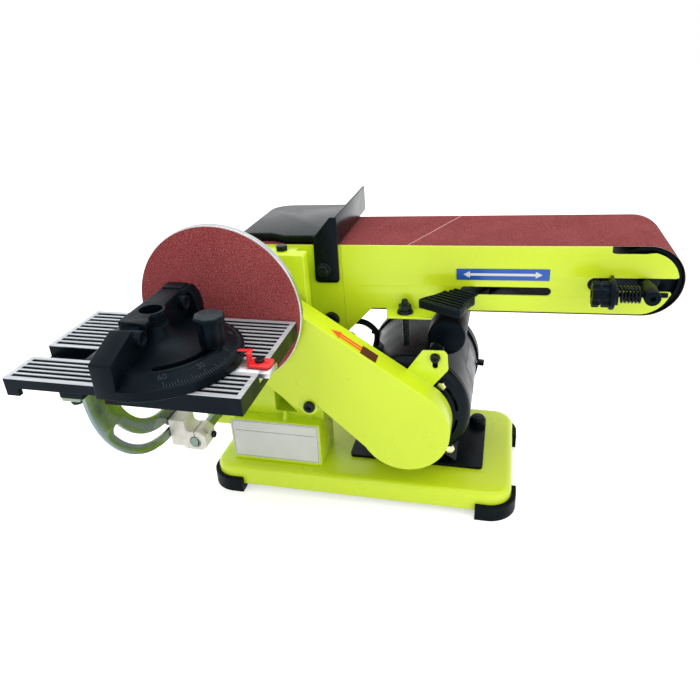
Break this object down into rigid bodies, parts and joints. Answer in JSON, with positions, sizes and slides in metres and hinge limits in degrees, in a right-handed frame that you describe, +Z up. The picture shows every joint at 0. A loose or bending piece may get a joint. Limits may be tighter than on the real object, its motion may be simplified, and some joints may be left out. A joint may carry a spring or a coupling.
{
  "type": "belt disc sander",
  "caption": "Bench sander with a flat belt on a tilting arm, a sanding disc with a tilting slotted work table and mitre gauge, and a belt-driven motor on a pressed base.",
  "frame": {"origin": "centre of the bounding box's footprint, at the height of the feet", "axes": "+X along the belt arm from the disc end towards the idler, +Y away from the operator (who faces the disc), +Z up"},
  "size_m": [0.513, 0.351, 0.288],
  "materials": {
    "lime_paint": "gloss",
    "black_paint": "satin",
    "black_plastic": "satin",
    "rubber": "matt",
    "aluminium": "machined",
    "steel": "ground",
    "zinc": "bright zinc plate",
    "die_cast": "as cast, blasted",
    "abrasive": "coated abrasive cloth",
    "red_plastic": "gloss",
    "blue_label": "printed film",
    "arrow_film": "printed film"
  },
  "bodies": {
    "machine": {"base_tray": "lime_paint", "foot_front_left": "rubber", "foot_front_right": "rubber", "foot_back_right": "rubber", "foot_back_left": "rubber", "pillar_casting": "lime_paint", "column_bolt": "black_paint", "nameplate": "aluminium", "front_bearing": "steel", "rear_bearing": "steel", "drive_belt": "rubber", "belt_cover": "lime_paint", "cover_bolt": "black_paint", "cover_hook_screw": "black_paint", "arrow_sticker": "arrow_film", "motor_shell": "black_paint", "motor_bell": "black_paint", "fan_cover": "black_paint", "capacitor": "black_plastic", "motor_band": "black_paint", "motor_mount": "black_paint", "bell_bolt_upper": "zinc", "bell_bolt_lower": "zinc", "motor_cable": "rubber", "clamp_block": "die_cast", "support_rod": "zinc", "tilt_bolt": "black_paint", "rod_set_screw": "black_paint"},
    "spindle": {"sanding_disc": "abrasive", "disc_plate": "aluminium", "main_shaft": "steel", "spindle_pulley": "aluminium", "drive_drum": "aluminium"},
    "rotor": {"motor_rotor": "steel", "motor_pulley": "aluminium"},
    "arm": {"arm_plate": "lime_paint", "platen": "steel", "sanding_belt": "abrasive", "work_rest": "black_paint", "rest_bolt": "black_paint", "arm_lock_bolt": "black_paint", "arm_pivot_bolt": "black_paint", "stop_bolt": "black_paint", "tension_label": "blue_label", "tension_spring": "steel", "tracking_spring": "steel"},
    "carriage": {"idler_yoke": "steel", "idler_axle": "black_paint"},
    "idler": {"idler_drum": "aluminium"},
    "lever": {"tension_lever": "black_plastic"},
    "tracking": {"tracking_knob": "black_plastic"},
    "work_table": {"table": "aluminium", "trunnion": "zinc", "trunnion_screw": "black_paint"},
    "gauge_slide": {"mitre_bar": "aluminium", "mitre_pointer": "red_plastic", "pointer_screw": "black_paint"},
    "gauge_head": {"mitre_head": "black_plastic"},
    "gauge_knob": {"mitre_knob": "black_plastic"}
  },
  "joints": [
    {"name": "spindle_spin", "type": "hinge", "parent": "machine", "child": "spindle", "pos_m": [-0.13549, -0.0275, 0.213], "axis": [0, 1, 0], "continuous": true},
    {"name": "motor_spin", "type": "hinge", "parent": "machine", "child": "rotor", "pos_m": [0.02551, -0.0275, 0.092], "axis": [0, 1, 0], "continuous": true},
    {"name": "arm_tilt", "type": "hinge", "parent": "machine", "child": "arm", "pos_m": [-0.13549, -0.0275, 0.213], "axis": [0, -1, 0], "range_deg": [0, 88.5]},
    {"name": "carriage_slide", "type": "slide", "parent": "arm", "child": "carriage", "axis": [-0.9997, 0, -0.0262], "range_m": [0, 0.008], "deforming": ["tension_spring", "tracking_spring"]},
    {"name": "lever_swing", "type": "hinge", "parent": "arm", "child": "lever", "pos_m": [0.10742, 0.1025, 0.21936], "axis": [-0.0262, 0, 0.9997], "range_deg": [0, 58]},
    {"name": "idler_spin", "type": "hinge", "parent": "carriage", "child": "idler", "pos_m": [0.22449, 0.1025, 0.22243], "axis": [0, 1, 0], "continuous": true},
    {"name": "tracking_turn", "type": "hinge", "parent": "arm", "child": "tracking", "pos_m": [0.1844, 0.0245, 0.22138], "axis": [0.9997, 0, 0.0262], "range_deg": [-540, 540]},
    {"name": "table_tilt", "type": "hinge", "parent": "machine", "child": "work_table", "pos_m": [-0.13549, -0.0425, 0.192], "axis": [1, 0, 0], "range_deg": [0, 60]},
    {"name": "gauge_slide", "type": "slide", "parent": "work_table", "child": "gauge_slide", "axis": [1, 0, 0], "range_m": [-0.045, 0.05]},
    {"name": "gauge_angle", "type": "hinge", "parent": "gauge_slide", "child": "gauge_head", "pos_m": [-0.14749, -0.1115, 0.206], "axis": [0, 0, 1], "range_deg": [-60, 60]},
    {"name": "gauge_knob_turn", "type": "hinge", "parent": "gauge_slide", "child": "gauge_knob", "pos_m": [-0.10249, -0.1115, 0.213], "axis": [0, 0, 1], "range_deg": [0, 360]}
  ],
  "couplings": [
    {"joint": "motor_spin", "follows": "spindle_spin", "ratio": 2},
    {"joint": "idler_spin", "follows": "spindle_spin", "ratio": 1},
    {"joint": "lever_swing", "follows": "carriage_slide", "rad_per_m": 126.54}
  ]
}
